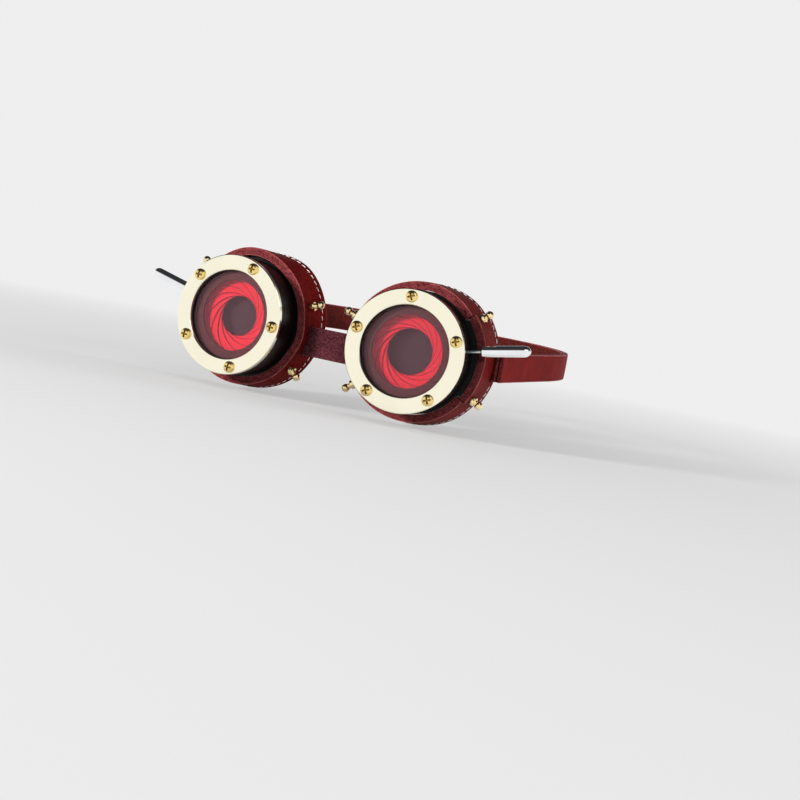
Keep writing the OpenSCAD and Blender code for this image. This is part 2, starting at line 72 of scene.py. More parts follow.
# Sizes that the source also has, in millimetres and degrees
SPACING, SPLAY, CUP_DEPTH = 96.0, 4.5, 35.0
FRONT_Y = -CUP_DEPTH * cos(SPLAY)
LEATHER_FRONT, LEATHER_REAR, LEATHER_R, LAYER, FLARE = 16.8, 36.5, 34.5, 2.05, 2.3
TAB_LIFT, TAB_ENDS, RIM_TILT = 1.6, (-33.0, 41.0), 2.0
STUD_DEPTH, TEMPLE_STUDS, NOSE_STUDS = 22.3, (-28.5, 37.0), (161.0, 217.0)
BRIDGE_DEPTH, BRIDGE_W, BRIDGE_T, BRIDGE_SLIT, BRIDGE_DROP = 23.2, 15.0, 2.0, 2.8, 5.6
STRAP_DEPTH, STRAP_W, STRAP_T, STRAP_SLIT, STRAP_RISE = 31.4, 14.2, 1.9, 3.4, 2.0
LOOP_HALF_W, LOOP_BACK, BEND_Y, FLAT_HALF = 85.5, 160.0, 80.0, 30.0
LEVER_ANGLES = {"right": 11.2, "left": 166.5}
REST_APERTURE = {"right": 11.1, "left": 9.84}
WIRE_R, BAR_X, SCREW_CIRCLE_R = 1.1, -6.0, 26.3


# Placing in the row frame

def eye_matrix(side):
    """From the bench of one eye, in mm with the glass up, to the row frame."""
    return (
        Matrix.Translation((side * SPACING / 2 * MM, FRONT_Y * MM, 0))
        @ Matrix.Rotation(math.radians(side * SPLAY), 4, "Z")
        @ Matrix.Rotation(math.radians(90), 4, "X")
        @ Matrix.Scale(MM, 4)
    )


def temple_angle(side, a):
    return a if side > 0 else 180 - a


def flare(depth):
    return FLARE * (depth - LEATHER_FRONT) / (LEATHER_REAR - LEATHER_FRONT)


def bump_at(a, centre, width):
    """A smooth hill of height 1 over a stretch of angles."""
    off = abs((a - centre + 180) % 360 - 180)
    return smooth(1 - off / width)


def rear_depth(side, x):
    """Depth of the cup's rear rim where the bench x is x."""
    return (CUP_DEPTH + side * x * sin(RIM_TILT)) / cos(RIM_TILT)


def plane_y(depth, x):
    return FRONT_Y + depth / cos(SPLAY) + (x - SPACING / 2) * math.tan(math.radians(SPLAY))


STRAP_X = SPACING / 2 + (LEATHER_R + TAB_LIFT + FLARE) * cos(SPLAY) - LEATHER_REAR * sin(SPLAY) + 0.2
STRAP_Y = plane_y(STRAP_DEPTH, STRAP_X) - 1.08
TILT = (
    Matrix.Scale(MM, 4)
    @ Matrix.Translation((0, STRAP_Y, 0))
    @ Matrix.Rotation(math.radians(STRAP_RISE), 4, "X")
    @ Matrix.Translation((0, -STRAP_Y, 0))
)


# Materials

def rgb(r, g, b):
    """A colour given in display values from 0 to 255."""
    def linear(v):
        v /= 255
        return v / 12.92 if v <= 0.04045 else ((v + 0.055) / 1.055) ** 2.4
    return (linear(r), linear(g), linear(b), 1.0)


class Nodes:
    """A material under construction, with short calls for the nodes it needs."""

    def __init__(self, name, **values):
        self.material = bpy.data.materials.new(name)
        self.material.use_nodes = True
        self.tree = self.material.node_tree
        self.shader = self.tree.nodes["Principled BSDF"]
        self.coords = self.add("ShaderNodeTexCoord").outputs["Object"]
        for key, value in values.items():
            self.shader.inputs[key.replace("_", " ").title().replace("Ior", "IOR")].default_value = value

    def add(self, kind, **values):
        node = self.tree.nodes.new(kind)
        for key, value in values.items():
            setattr(node, key, value)
        return node

    def link(self, out, into):
        self.tree.links.new(out, into)
        return self

    def place(self, matrix):
        """Turns the coordinates to those of a placed frame."""
        node = self.add("ShaderNodeMapping")
        inverse = matrix.inverted()
        node.inputs["Location"].default_value = inverse.translation
        node.inputs["Rotation"].default_value = inverse.to_euler()
        node.inputs["Scale"].default_value = inverse.to_scale()
        self.link(self.coords, node.inputs["Vector"])
        self.coords = node.outputs["Vector"]
        return self

    def stretch(self, x, y, z):
        node = self.add("ShaderNodeMapping")
        node.inputs["Scale"].default_value = (x, y, z)
        self.link(self.coords, node.inputs["Vector"])
        return node.outputs["Vector"]

    def noise(self, scale, detail=3.0, rough=0.55, coords=None):
        node = self.add("ShaderNodeTexNoise")
        node.inputs["Scale"].default_value = scale
        node.inputs["Detail"].default_value = detail
        node.inputs["Roughness"].default_value = rough
        self.link(coords or self.coords, node.inputs["Vector"])
        return node.outputs["Fac"]

    def cells(self, scale):
        node = self.add("ShaderNodeTexVoronoi", feature="F1")
        node.inputs["Scale"].default_value = scale
        self.link(self.coords, node.inputs["Vector"])
        return node.outputs["Distance"]

    def rings(self, scale, distortion):
        node = self.add("ShaderNodeTexWave", wave_type="RINGS", rings_direction="Z")
        node.inputs["Scale"].default_value = scale
        node.inputs["Distortion"].default_value = distortion
        self.link(self.coords, node.inputs["Vector"])
        return node.outputs["Fac"]

    def ramp(self, value, stops):
        node = self.add("ShaderNodeValToRGB")
        ramp = node.color_ramp
        while len(ramp.elements) < len(stops):
            ramp.elements.new(0.5)
        for element, (at, colour) in zip(ramp.elements, stops):
            element.position = at
            element.color = colour if len(colour) == 4 else (*colour, 1)
        self.link(value, node.inputs["Fac"])
        return node.outputs["Color"]

    def span(self, value, low, high, start=0.0, end=1.0):
        node = self.add("ShaderNodeMapRange")
        for key, number in (("From Min", start), ("From Max", end), ("To Min", low), ("To Max", high)):
            node.inputs[key].default_value = number
        self.link(value, node.inputs["Value"])
        return node.outputs["Result"]

    def mix(self, a, b, fac, blend="MIX"):
        node = self.add("ShaderNodeMix", data_type="RGBA", blend_type=blend)
        for value, key in ((fac, 0), (a, 6), (b, 7)):
            if isinstance(value, (int, float, tuple)):
                node.inputs[key].default_value = value
            else:
                self.link(value, node.inputs[key])
        return node.outputs[2]

    def bump(self, height, distance, strength=1.0):
        """Adds a bump on top of those already there; distance is in mm."""
        node = self.add("ShaderNodeBump")
        node.inputs["Distance"].default_value = distance * MM
        node.inputs["Strength"].default_value = strength
        self.link(height, node.inputs["Height"])
        before = self.shader.inputs["Normal"].links
        if before:
            self.link(before[0].from_socket, node.inputs["Normal"])
        return self.link(node.outputs["Normal"], self.shader.inputs["Normal"])

    def colour(self, out):
        return self.link(out, self.shader.inputs["Base Color"])

    def rough(self, out):
        return self.link(out, self.shader.inputs["Roughness"])


def grain_leather(name, dark, mid, light, cell, depth, roughness, gloss):
    """Grained leather in three tones; cell is the pits' scale and depth the grain's height in mm."""
    n = Nodes(name, specular_ior_level=gloss)
    tone = n.noise(95, 4, 0.6)
    fine = n.noise(1200, 3, 0.6)
    base = n.ramp(tone, ((0.25, dark), (0.5, mid), (0.78, light)))
    pits = n.span(n.cells(cell), 0.62, 1.06, 0.0, 0.62)
    shade = n.mix((1, 1, 1, 1), pits, 0.55)
    n.colour(n.mix(n.mix(base, shade, 1.0, "MULTIPLY"), n.ramp(fine, ((0.42, dark), (0.6, light))), 0.5))
    n.rough(n.span(fine, roughness - 0.07, roughness + 0.1, 0.3, 0.7))
    n.bump(n.cells(cell), depth)
    n.bump(n.noise(cell * 0.16, 3), depth * 1.4, 0.7)
    return n.material


def raw_edge(name, dark, light):
    """Cut leather: short matted fibres between dark pits."""
    n = Nodes(name, specular_ior_level=0.08)
    fibre = n.noise(1500, 5, 0.75)
    clump = n.noise(420, 3, 0.6)
    mid = tuple((a + b) / 2 for a, b in zip(dark, light))
    base = n.ramp(fibre, ((0.42, dark), (0.5, mid), (0.6, light)))
    n.colour(n.mix(base, n.ramp(clump, ((0.35, dark), (0.65, light))), 0.3))
    n.rough(n.span(fibre, 0.95, 0.65, 0.3, 0.7))
    n.bump(fibre, 0.22)
    n.bump(clump, 0.25, 0.6)
    return n.material


def polished_brass(name, base, roughness, matrix=None):
    """Brass with fine scratches; with a matrix, also the turning rings about that frame's axis."""
    wear = 0.06
    n = Nodes(name, metallic=1.0)
    tone = n.noise(60, 3)
    n.colour(n.mix(n.ramp(tone, ((0.3, tuple(c * 0.93 for c in base[:3])), (0.7, base))), base, 0.4))
    scratch = n.noise(700, 4, 0.65, n.stretch(0.25, 1.6, 1.0))
    n.rough(n.span(scratch, roughness - wear / 2, roughness + wear, 0.35, 0.7))
    n.bump(n.noise(220, 2), 0.012, 0.5)
    if matrix is not None:
        n.place(matrix)
        n.bump(n.rings(2.2, 0.4), 0.006, 0.5)
    return n.material


def plain_metal(name, base, roughness, wear, lines=(1, 1, 1)):
    """Steel with scratches drawn out along lines; wear is how much rougher they are."""
    n = Nodes(name, metallic=1.0)
    tone = n.noise(80, 3)
    n.colour(n.ramp(tone, ((0.3, tuple(c * 0.86 for c in base[:3])), (0.7, base))))
    scratch = n.noise(900, 4, 0.6, n.stretch(*lines))
    n.rough(n.span(scratch, roughness, roughness + wear, 0.35, 0.7))
    n.bump(scratch, 0.004, 0.5)
    return n.material


def paint(name, base, roughness, lift, speckle=600):
    """Enamel or rubber; lift is how much lighter its light patches are."""
    n = Nodes(name, specular_ior_level=0.3)
    tone = n.noise(70, 4)
    light = tuple(min(1.0, c * (1 + lift)) for c in base[:3])
    n.colour(n.ramp(tone, ((0.3, base), (0.72, light))))
    fine = n.noise(speckle, 4, 0.6)
    n.rough(n.span(fine, roughness, roughness + 0.1, 0.35, 0.7))
    n.bump(fine, 0.012, 0.6)
    return n.material


M = {
    "wrap": grain_leather("oxblood leather", rgb(72, 8, 9), rgb(102, 18, 17), rgb(130, 34, 31),
                          1500, 0.05, 0.46, 0.02),
    "strap": grain_leather("oxblood strap leather", rgb(84, 12, 12), rgb(112, 22, 21), rgb(140, 38, 35),
                           1700, 0.06, 0.55, 0.02),
    "lining": grain_leather("burgundy lining leather", rgb(46, 12, 14), rgb(64, 18, 20), rgb(82, 28, 28),
                            1100, 0.06, 0.65, 0.04),
    "bridge": grain_leather("pebbled burgundy leather", rgb(42, 14, 18), rgb(74, 33, 39), rgb(112, 60, 66),
                            1200, 0.2, 0.55, 0.06),
    "raw": raw_edge("cut leather edge", rgb(46, 4, 10), rgb(156, 72, 74)),
    "raw_dark": raw_edge("cut burgundy edge", rgb(34, 8, 14), rgb(98, 40, 48)),
    "flesh": raw_edge("leather flesh side", rgb(60, 16, 16), rgb(110, 44, 40)),
    # The rounded rims' lighter tone is partly wear and partly a painted highlight along the edges.
    "worn": grain_leather("worn leather edge with painted highlight", rgb(118, 40, 42), rgb(154, 72, 72), rgb(188, 108, 106),
                          1900, 0.04, 0.5, 0.2),
    "worn_sheen_dark": grain_leather("worn burgundy edge with painted highlight", rgb(66, 24, 32), rgb(94, 42, 50), rgb(116, 60, 68),
                               1900, 0.04, 0.5, 0.2),
}


def thread_material():
    n = Nodes("waxed white thread", sheen_weight=0.2)
    twist = n.noise(2600, 3, 0.6)
    n.colour(n.ramp(twist, ((0.3, rgb(226, 220, 210)), (0.7, rgb(254, 252, 248)))))
    n.rough(n.span(twist, 0.5, 0.75))
    n.bump(twist, 0.08)
    return n.material


M["thread"] = thread_material()
for side_name, sign in SIDES:
    M["bezel_" + side_name] = polished_brass(
        "pale brass " + side_name, (0.98, 0.93, 0.745, 1), 0.14, eye_matrix(sign))
M["stud"] = polished_brass("yellow brass", (0.93, 0.76, 0.42, 1), 0.12)
M["screw"] = polished_brass("screw brass", (0.90, 0.68, 0.27, 1), 0.16)
# Dark brass for the screws' recess walls: painted shade in the cross recess.
M["recess_shade"] = polished_brass("dark brass with painted recess shade", (0.34, 0.20, 0.05, 1), 0.35)
M["chrome"] = plain_metal("chromed steel", (0.9, 0.91, 0.93, 1), 0.05, 0.04)
M["steel"] = plain_metal("drawn steel", (0.68, 0.69, 0.71, 1), 0.22, 0.12, (0.2, 1.4, 1.4))
M["tube"] = paint("black enamel", rgb(7, 5, 5), 0.3, 0.4)
M["plate"] = paint("matt plum-black enamel", rgb(69, 25, 25), 0.6, 0.15)
M["ring"] = plain_metal("blued steel", (0.05, 0.052, 0.07, 1), 0.34, 0.12)
M["rubber"] = paint("black rubber", rgb(18, 18, 18), 0.6, 0.3)
M["blade"] = paint("red blade enamel", rgb(228, 26, 46), 0.45, 0.1, 1500)
# The blades' dark edge colour is painted shade: it stands in for the shadow lines where the blades overlap.
M["blade_edge_shade"] = paint("blade edge with painted shade", rgb(106, 10, 26), 0.6, 0.2)


def glass(name, tone, alpha, roughness, gloss):
    """Flat glass that lets light straight through, with a faint diffuse tone of the given colour; on the
    clear lens that tone is painted reflection.
    """
    n = Nodes(name, ior=1.5, alpha=alpha, specular_ior_level=gloss)
    haze = n.noise(45, 3)
    n.colour(n.ramp(haze, ((0.3, tuple(c * 0.94 for c in tone[:3])), (0.7, tone))))
    n.rough(n.span(n.noise(800, 3), roughness, roughness + 0.03, 0.3, 0.7))
    return n.material


# The clear lens's pinkish diffuse tone is painted reflection, standing in for the faint veil the coated
# glass reflects.
M["glass"] = glass("clear glass with painted reflection", rgb(150, 114, 122), 0.1, 0.03, 0.5)
M["smoked"] = glass("smoked glass", rgb(56, 38, 45), 0.96, 0.2, 0.05)


# Mesh helpers

SHARP_EDGE = 38
WELD = 1e-7


def piece(name, verts, faces, materials, indices, replaced=(), body="goggles", matrix=None):
    """Makes a mesh piece that rides on a body; materials are names in M."""
    mesh = bpy.data.meshes.new(name)
    mesh.from_pydata([tuple(v) for v in verts], [], faces)
    if matrix is not None:
        mesh.transform(matrix)
    for key in materials:
        mesh.materials.append(M[key])
    mesh.polygons.foreach_set("material_index", indices)
    obj = bpy.data.objects.new(name, mesh)
    bpy.context.scene.collection.objects.link(obj)
    tidy(mesh)
    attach(obj, body)
    if replaced:
        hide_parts(*replaced)
    return obj


def tidy(mesh):
    """Welds, turns all faces outward and shades smooth except across sharp edges."""
    bm = bmesh.new()
    bm.from_mesh(mesh)
    bmesh.ops.remove_doubles(bm, verts=bm.verts, dist=WELD)
    bmesh.ops.recalc_face_normals(bm, faces=bm.faces)
    for edge in bm.edges:
        edge.smooth = len(edge.link_faces) != 2 or edge.calc_face_angle(0) < math.radians(SHARP_EDGE)
    for face in bm.faces:
        face.smooth = True
    bm.to_mesh(mesh)
    bm.free()


def loft(rings, marks, caps=None, closed=False):
    """Faces between rings of points; marks gives each ring segment's material index."""
    size = len(rings[0])
    verts = [p for ring in rings for p in ring]
    faces, indices = [], []
    spans = len(rings) if closed else len(rings) - 1
    for i in range(spans):
        a, b = i * size, (i + 1) % len(rings) * size
        for j in range(size):
            k = (j + 1) % size
            faces.append((a + j, a + k, b + k, b + j))
            indices.append(marks[j])
    if caps is not None and not closed:
        faces += [tuple(range(size)), tuple(range((len(rings) - 1) * size, len(rings) * size))]
        indices += [caps, caps]
    return verts, faces, indices


def carve(obj, cutters):
    """Cuts closed shapes out of a piece; the cut faces keep the cutter's material index."""
    cutter = bpy.data.objects.new("cutter", bpy.data.meshes.new("cutter"))
    bm = bmesh.new()
    for verts, faces, index in cutters:
        made = [bm.verts.new(v) for v in verts]
        for face in faces:
            bm.faces.new([made[i] for i in face]).material_index = index
    bmesh.ops.recalc_face_normals(bm, faces=bm.faces)
    bm.to_mesh(cutter.data)
    bm.free()
    for material in obj.data.materials:
        cutter.data.materials.append(material)
    bpy.context.scene.collection.objects.link(cutter)
    modifier = obj.modifiers.new("carve", "BOOLEAN")
    modifier.operation, modifier.solver, modifier.object = "DIFFERENCE", "EXACT", cutter
    bpy.context.view_layer.update()
    done = bpy.data.meshes.new_from_object(obj.evaluated_get(bpy.context.evaluated_depsgraph_get()))
    obj.modifiers.clear()
    obj.data = done
    bpy.data.objects.remove(cutter)
    tidy(done)


def box_cutter(matrix, low, high, index):
    """A box between two corners of the matrix's frame."""
    verts = [matrix @ Vector((x, y, z)) for x in (low[0], high[0]) for y in (low[1], high[1])
             for z in (low[2], high[2])]
    faces = [(0, 1, 3, 2), (4, 6, 7, 5), (0, 4, 5, 1), (2, 3, 7, 6), (0, 2, 6, 4), (1, 5, 7, 3)]
    return verts, faces, index


def rod_cutter(matrix, radius, start, end, index):
    """A cylinder along the matrix's x axis."""
    steps = 24
    verts = [matrix @ Vector((x, radius * cos(360 * i / steps), radius * sin(360 * i / steps)))
             for x in (start, end) for i in range(steps)]
    faces = [tuple(range(steps)), tuple(range(steps, 2 * steps))]
    faces += [(i, (i + 1) % steps, steps + (i + 1) % steps, steps + i) for i in range(steps)]
    return verts, faces, index


# Leather cups

# Places of the four leather materials in a piece's list
# The last index marks the rounded rims, whose lighter tone is partly wear and partly a painted highlight.
GRAIN, INNER, RAW, WORN_SHEEN = 0, 1, 2, 3
# Swell in front of the bridge's slit: its middle from the temple line, half its stretch, its height
LIP_AT, LIP_HALF, LIP_H = 189, 20, 0.9
# Row of stitches: its distance from the rear rim, pitch, and one stitch's length and half thickness
STITCH_IN, STITCH_PITCH, STITCH_L, THREAD_R = 3.1, 3.75, 3.0, 0.26
STUD_HOLE_R = 1.45
# Radii between which the cutters pass through the cup's wall
WALL_FROM, STUD_CUT_TO, SLIT_CUT_TO = 28, 41, 44
SLIT_PLAY = 0.25


def wander(side, a, depth):
    """How far the hand-formed leather strays from the cone, in mm; the brow presses its top flat."""
    slope = (depth - LEATHER_FRONT) / (LEATHER_REAR - LEATHER_FRONT)
    t = temple_angle(side, a)
    if side > 0:
        worn = -1.9 * bump_at(a, 92, 50) + 0.2 * bump_at(a, 52, 26) - 0.6 * bump_at(a, 265, 60)
        bulge = 0.0
    else:
        worn = -2.3 * bump_at(a, 98, 44) + 0.8 * bump_at(a, 52, 26) - 1.0 * bump_at(a, 285, 60)
        bulge = 0.9 * bump_at(a, 96, 42) * (1 - slope) + 1.6 * bump_at(a, 14, 52) * slope ** 2
    return slope * worn * smooth(0.5 + slope) + bulge + 0.1 * sin(5 * t + 40)


def lip(side, a, depth):
    """Swell of the strip in front of the bridge's slit."""
    along = bump_at(a, temple_angle(side, LIP_AT), LIP_HALF)
    return LIP_H * along * smooth((BRIDGE_DEPTH - 0.6 - depth) / 2.2)


def dimple(side, a, depth, r):
    """Leather pressed down under a stud's collar, and drawn in by the row of stitches."""
    press = 0.0
    for s in TEMPLE_STUDS + NOSE_STUDS:
        off = math.radians((a - temple_angle(side, s) + 180) % 360 - 180) * r
        press += 0.4 * math.exp(-(off ** 2 + (depth - STUD_DEPTH) ** 2) / 14)
    line = rear_depth(side, r * cos(a)) - STITCH_IN
    return -press - 0.22 * math.exp(-((depth - line) / 0.8) ** 2)


def leather_band(name, side, r_in, r_out, a0, a1, slot, replaced, materials, outer=True, notch=None,
                 round_in=0.35, round_out=0.35):
    """A leather layer round a cup between two temple-line angles; radii are those at the front edge."""
    edge = max(round_in, round_out)
    steps = max(8, round((a1 - a0) / 1.5))
    rows = 14
    rings = []
    marks = []
    end_in = math.degrees(edge / r_out)
    angles = [(a0, edge * 0.9), (a0 + end_in, 0.0)]
    angles += [(a0 + end_in + (a1 - a0 - 2 * end_in) * i / steps, 0.0) for i in range(1, steps)]
    angles += [(a1 - end_in, 0.0), (a1, edge * 0.9)]
    for t, inset in angles:
        a = temple_angle(side, t)
        rear = rear_depth(side, (r_in + r_out) / 2 * cos(a)) - inset
        front = LEATHER_FRONT + inset
        cut = notch(t) if notch else 0.0
        ring, tags = [], []

        def put(r, depth, tag, pressed=False):
            r += flare(depth) + wander(side, a, depth) + lip(side, a, depth)
            if pressed and outer:
                r += dimple(side, a, depth, r_out)
            ring.append(Vector((r * cos(a), r * sin(a), -depth)))
            tags.append(tag)

        lo, hi, mid = r_in + inset, r_out - inset, (r_in + r_out) / 2
        # Rounded rims take the lighter tone: partly wear, partly painted highlight.
        worn_sheen_in = WORN_SHEEN if round_in > 0.2 else RAW
        worn_sheen_out = WORN_SHEEN if round_out > 0.2 else RAW
        put(lo, front + round_in + cut, worn_sheen_in)
        put(lo + round_in * 0.3, front + round_in * 0.3 + cut, worn_sheen_in)
        put(lo + round_in, front + cut, RAW)
        put(mid, front + 0.04 + cut * 0.5, RAW)
        put(hi - round_out, front, worn_sheen_out, True)
        put(hi - round_out * 0.3, front + round_out * 0.3, worn_sheen_out, True)
        for i in range(rows):
            put(hi, front + round_out + (rear - front - 2 * round_out) * i / rows, GRAIN, True)
        put(hi, rear - round_out, worn_sheen_out, True)
        put(hi - round_out * 0.3, rear - round_out * 0.3, worn_sheen_out, True)
        put(hi - round_out, rear, RAW)
        put(mid, rear - 0.04, RAW)
        put(lo + round_in, rear, worn_sheen_in)
        put(lo + round_in * 0.3, rear - round_in * 0.3, worn_sheen_in)
        for i in range(rows):
            put(lo, rear - round_in - (rear - front - 2 * round_in - cut) * i / rows, INNER)
        rings.append(ring)
        marks = tags
    verts, faces, indices = loft(rings, marks, RAW)
    return piece(name, verts, faces, materials, indices, replaced, matrix=eye_matrix(side))


def cup_cutters(side, studs, nose):
    """Stud holes and the slit of one wall, in the row frame."""
    m = eye_matrix(side)
    cutters = []
    for s in studs:
        turn = Matrix.Rotation(math.radians(temple_angle(side, s)), 4, "Z")
        cutters.append(rod_cutter(
            m @ turn @ Matrix.Translation((0, 0, -STUD_DEPTH)), STUD_HOLE_R, WALL_FROM, STUD_CUT_TO, RAW))
    if nose:
        at, depth, half, t, drop = 180, BRIDGE_DEPTH, BRIDGE_W / 2 + SLIT_PLAY, BRIDGE_SLIT / 2, BRIDGE_DROP
    else:
        at, depth, half, t, drop = 0, STRAP_DEPTH, STRAP_W / 2 + SLIT_PLAY, STRAP_SLIT / 2, 0
    turn = Matrix.Translation((0, -drop, 0)) @ Matrix.Rotation(math.radians(temple_angle(side, at)), 4, "Z")
    cutters.append(box_cutter(
        m @ turn, (WALL_FROM, -half, -depth - t), (SLIT_CUT_TO, half, -depth + t), RAW))
    return cutters


def stitches(name, side, r_out, a0, a1, gap=None):
    """A row of saddle stitches near the rear rim, each a short thread lying in its dip; none in gap."""
    verts, faces = [], []
    r_mid = r_out + flare(33)
    count = int((a1 - a0) / math.degrees(STITCH_PITCH / r_mid))
    for i in range(count + 1):
        t = a0 + (a1 - a0) * (i + 0.5) / (count + 1)
        if gap and gap[0] < t < gap[1]:
            continue
        half = math.degrees(STITCH_L / 2 / r_mid)
        rings = []
        for u in range(9):
            s = u / 8 * 2 - 1
            a = temple_angle(side, t + s * half)
            depth = rear_depth(side, r_mid * cos(a)) - STITCH_IN + 0.3 * s * (1 if i % 2 else 0.8)
            thick = THREAD_R * math.sqrt(max(0.02, 1 - abs(s) ** 4))
            sink = 0.45 * abs(s) ** 5
            r = r_out + flare(depth) + wander(side, a, depth) - 0.08 - sink
            core = Vector((r * cos(a), r * sin(a), -depth))
            out = Vector((cos(a), sin(a), 0))
            rings.append([core + out * (thick * cos(b)) + Vector((0, 0, thick * sin(b)))
                          for b in range(0, 360, 45)])
        v, f, _ = loft(rings, [0] * 8, 0)
        faces += [tuple(k + len(verts) for k in face) for face in f]
        verts += v
    return piece(name, verts, faces, ["thread"], [0] * len(faces), matrix=eye_matrix(side))


def tab_notch(t):
    """Small V cut in the tab's inner front edge, next to the lever."""
    return 2.2 * max(0.0, 1 - abs(t - 6.3) / 5.5)


for side_name, sign in SIDES:
    start, end = TAB_ENDS[1] + 0.5, 359.5 + TAB_ENDS[0]
    lining = leather_band(
        "lining_" + side_name, sign, LEATHER_R - 2 * LAYER, LEATHER_R - LAYER - 0.03, start, end,
        "lining_leather", ["cup_lining_" + side_name], ["lining", "lining", "raw", "worn"], False,
        round_out=0.12)
    wrap = leather_band(
        "wrap_" + side_name, sign, LEATHER_R - LAYER, LEATHER_R, start, end,
        "outer_leather", ["cup_wrap_" + side_name], ["wrap", "flesh", "raw", "worn"], round_in=0.12)
    tab = leather_band(
        "tab_" + side_name, sign, LEATHER_R + TAB_LIFT - 2 * LAYER, LEATHER_R + TAB_LIFT, *TAB_ENDS,
        "outer_leather", ["temple_tab_" + side_name], ["wrap", "lining", "raw", "worn"],
        notch=tab_notch)
    for obj in (lining, wrap):
        carve(obj, cup_cutters(sign, NOSE_STUDS, True))
    carve(tab, cup_cutters(sign, TEMPLE_STUDS, False))
    stitches("stitches_wrap_" + side_name, sign, LEATHER_R, start + 2, end - 2)
    stitches("stitches_tab_" + side_name, sign, LEATHER_R + TAB_LIFT, TAB_ENDS[0] + 3, TAB_ENDS[1] - 3,
             (-13, 13))


# Straps

def arc_lengths(path):
    total = [0.0]
    for a, b in zip(path, path[1:]):
        total.append(total[-1] + (b - a).length)
    return total


def resample(path, step):
    """Even points along a polyline."""
    lengths = arc_lengths(path)
    count = max(2, round(lengths[-1] / step))
    points = []
    k = 0
    for i in range(count + 1):
        s = lengths[-1] * i / count
        while k < len(path) - 2 and lengths[k + 1] < s:
            k += 1
        span = max(lengths[k + 1] - lengths[k], 1e-9)
        points.append(path[k].lerp(path[k + 1], (s - lengths[k]) / span))
    return points


def relax(points, passes):
    """Rounds a polyline's corners, keeping its ends."""
    for _ in range(passes):
        points = [points[0]] + [
            (points[i - 1] + 2 * points[i] + points[i + 1]) / 4 for i in range(1, len(points) - 1)
        ] + [points[-1]]
    return points


def strap_mesh(name, path, width, thick, materials, replaced, matrix, tip=False, edge=0.4, bow=0.0):
    """A strap whose plan centre line is path, in mm; its width is along z. The grain side is on the
    path's right hand. tip rounds the last half width."""
    lengths = arc_lengths(path)
    rings, marks = [], []
    for i, p in enumerate(path):
        d = (path[min(i + 1, len(path) - 1)] - path[max(i - 1, 0)]).normalized()
        out = Vector((d.y, -d.x))
        inset = edge * 0.8 if i in (0, len(path) - 1) else 0.0
        half = width / 2 - inset + 0.06 * noise.noise(Vector((lengths[i] * 0.08, 3.1, width)))
        if tip:
            left = lengths[-1] - lengths[i]
            if left < width / 2:
                half = math.sqrt(max(0.0, (width / 2) ** 2 - (width / 2 - left) ** 2)) - inset
                half = max(half, 1.2)
        t = thick / 2 - inset * 0.8
        profile = []
        cols = 8
        profile.append((t - edge, -half, RAW))
        profile.append((t - edge * 0.3, -half + edge * 0.3, WORN_SHEEN))
        for c in range(cols + 1):
            z = (-half + edge) + (2 * half - 2 * edge) * c / cols
            crown = bow * (1 - (z / half) ** 2)
            profile.append((t + crown, z, GRAIN if c < cols else WORN_SHEEN))
        profile.append((t - edge * 0.3, half - edge * 0.3, WORN_SHEEN))
        profile.append((t - edge, half, RAW))
        profile.append((-t + edge, half, WORN_SHEEN))
        profile.append((-t + edge * 0.3, half - edge * 0.3, WORN_SHEEN))
        for c in range(cols + 1):
            z = (half - edge) - (2 * half - 2 * edge) * c / cols
            profile.append((-t, z, INNER if c < cols else WORN_SHEEN))
        profile.append((-t + edge * 0.3, -half + edge * 0.3, WORN_SHEEN))
        profile.append((-t + edge, -half, RAW))
        rings.append([Vector((p.x + out.x * u, p.y + out.y * u, z)) for u, z, _ in profile])
        marks = [tag for _, _, tag in profile]
        marks[0] = WORN_SHEEN
        marks[-1] = RAW
    verts, faces, indices = loft(rings, marks, RAW)
    return piece(name, verts, faces, materials, indices, replaced, matrix=matrix)


def loop_points(last, offset):
    """The strap loop's plan on the right, moved outward from its inner face by offset."""
    step = 3
    raw = [Vector((STRAP_X, STRAP_Y)), Vector((STRAP_X, STRAP_Y + 6))]
    t = 0
    while t <= last + 1e-6:
        raw.append(Vector((
            FLAT_HALF + (LOOP_HALF_W - FLAT_HALF) * max(cos(t), 0.0) ** 0.8,
            BEND_Y + (LOOP_BACK - BEND_Y) * max(sin(t), 0.0) ** 0.8)))
        t += step
    moved = []
    for i, p in enumerate(raw):
        d = (raw[min(i + 1, len(raw) - 1)] - raw[max(i - 1, 0)]).normalized()
        moved.append(p + Vector((d.y, -d.x)) * offset)
    return moved


def flip(path, side):
    return [Vector((side * p.x, p.y)) for p in path]


# Heights of the layers at the buckle, outwards from the loop's inner face
OUTER_IN = STRAP_T + 0.05
OUTER_OUT = OUTER_IN + STRAP_T
BAR_Y = LOOP_BACK + OUTER_OUT + 0.2 + WIRE_R
FOLD_IN = WIRE_R + 0.2
FOLD_OUT = FOLD_IN + STRAP_T
RETURN_IN = OUTER_OUT + 0.05
RETURN_OUT = RETURN_IN + STRAP_T
TAIL_IN = RETURN_OUT + 0.1
HALF_T = STRAP_T / 2
TONGUE_L, FOLD_BACK_L, TAIL_TIP = 6, 17, -39
HOLE_R, STRAP_HOLES = 1.25, (18, 27, -29)


def outward(path, side):
    """The left strap's path runs mirrored, so it is reversed to keep the grain side out."""
    return path if side > 0 else list(reversed(path))


STRAP_SET = ["strap", "flesh", "raw", "worn"]
LINING_SET = ["lining", "flesh", "raw", "worn"]
BRIDGE_SET = ["bridge", "flesh", "raw_dark", "worn_sheen_dark"]
for side_name, sign in SIDES:
    body = relax(resample(loop_points(78, HALF_T), 1.0), 2)
    strap_mesh("strap_inner_" + side_name, outward(flip(body, sign), sign), STRAP_W, STRAP_T,
               LINING_SET, ["strap_lining_" + side_name], TILT)
    tongue = [Vector((STRAP_X - TONGUE_L + i * 0.6, STRAP_Y + HALF_T + 0.1)) for i in range(12)]
    strap_mesh("strap_tongue_" + side_name, outward(flip(tongue, sign), sign), STRAP_W - 0.3, STRAP_T - 0.2,
               LINING_SET, [], TILT)

